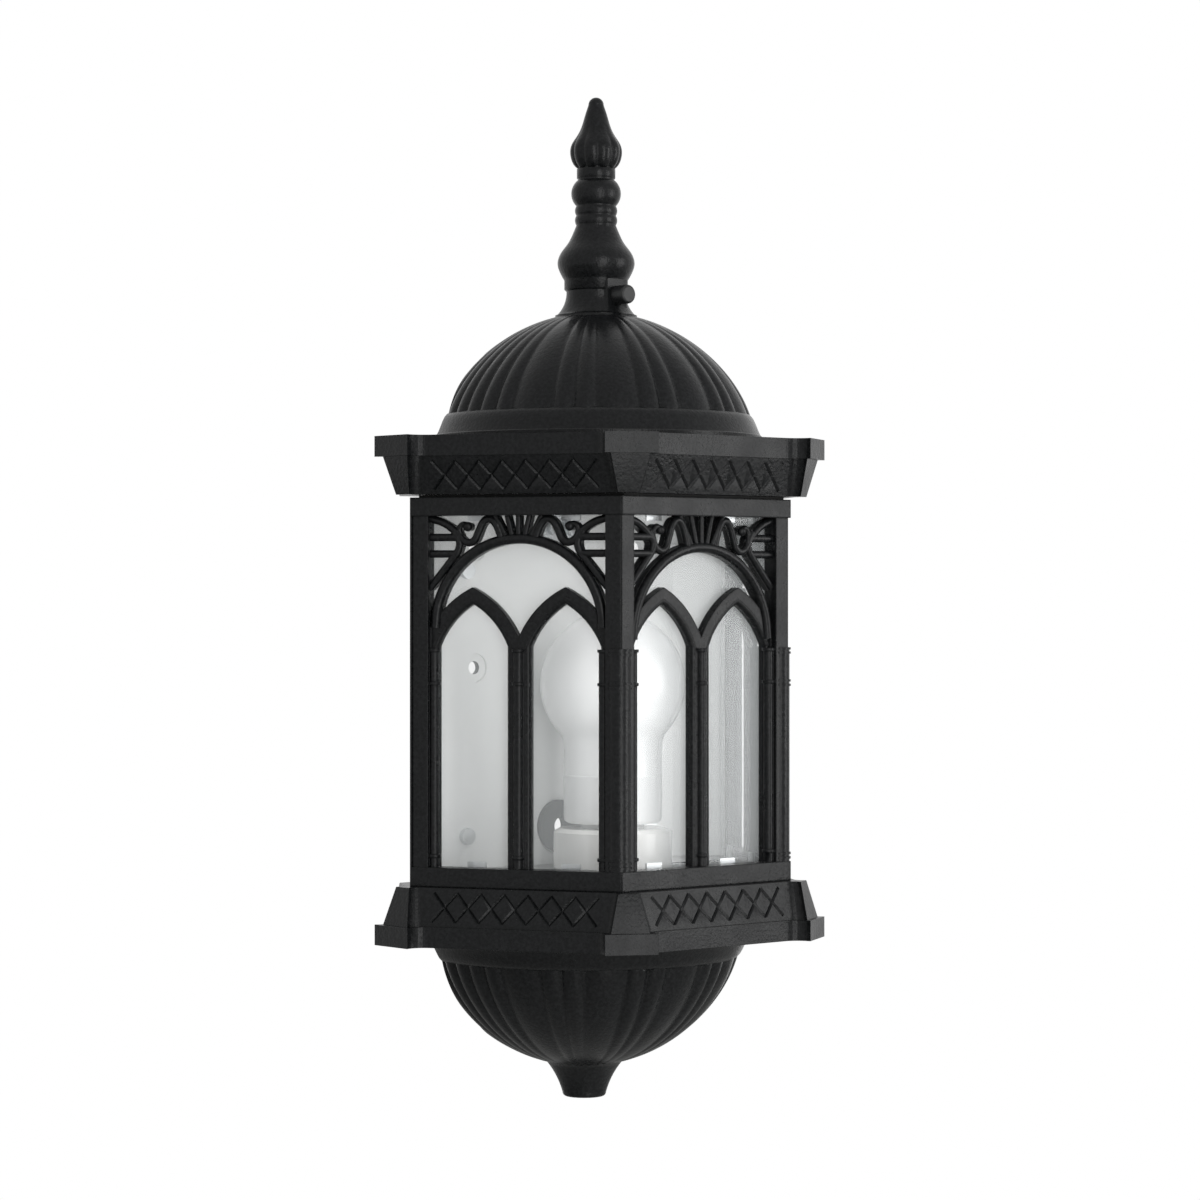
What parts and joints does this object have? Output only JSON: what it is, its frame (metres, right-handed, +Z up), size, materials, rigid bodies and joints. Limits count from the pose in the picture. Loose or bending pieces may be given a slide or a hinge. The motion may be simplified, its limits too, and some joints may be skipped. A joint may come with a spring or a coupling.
{
  "type": "outdoor wall light",
  "caption": "Flat-backed half-hexagon wall lantern with tracery panels, clear panes, a fluted lift-off dome roof, a turned finial and a fluted bowl below.",
  "frame": {"origin": "centre of the four wall bolt holes, on the wall plane", "axes": "+Z up, +Y into the wall, so the lantern stands out along -Y"},
  "size_m": [0.2022, 0.1123, 0.4151],
  "materials": {
    "black_casting": "fine-textured black powder coat on cast aluminium",
    "black_screw": "satin black",
    "clear_glass": "clear float",
    "white_sheet": "white enamel",
    "plated_steel": "zinc plated",
    "black_rubber": "moulded",
    "white_ceramic": "glazed",
    "opal_lamp": "opal"
  },
  "bodies": {
    "lantern": {"back_housing": "black_casting", "cable_grommet": "black_rubber", "reflector": "white_sheet", "reflector_screws": "plated_steel", "front_panel": "black_casting", "front_glass": "clear_glass", "left_panel": "black_casting", "left_glass": "clear_glass", "right_panel": "black_casting", "right_glass": "clear_glass", "glass_clips": "plated_steel", "lower_cornice": "black_casting", "bowl": "black_casting", "bowl_screws": "plated_steel", "floor_tray": "black_casting", "lamp_bracket": "plated_steel", "bracket_screws": "plated_steel", "lamp_holder": "white_ceramic", "bulb": "opal_lamp", "terminal_block": "white_ceramic", "roof_post": "plated_steel", "post_screws": "plated_steel", "roof_gasket": "black_rubber"},
    "roof": {"upper_cornice": "black_casting", "roof_dome": "black_casting", "roof_screws": "plated_steel", "finial": "black_casting"},
    "thumbscrew": {"thumbscrew": "black_screw"}
  },
  "joints": [
    {"name": "roof_lift", "type": "slide", "parent": "lantern", "child": "roof", "axis": [0, 0, 1], "range_m": [0, 0.08]},
    {"name": "thumbscrew_turn", "type": "hinge", "parent": "roof", "child": "thumbscrew", "pos_m": [0, -0.0445, 0.1286], "axis": [0, -1, 0], "continuous": true}
  ]
}
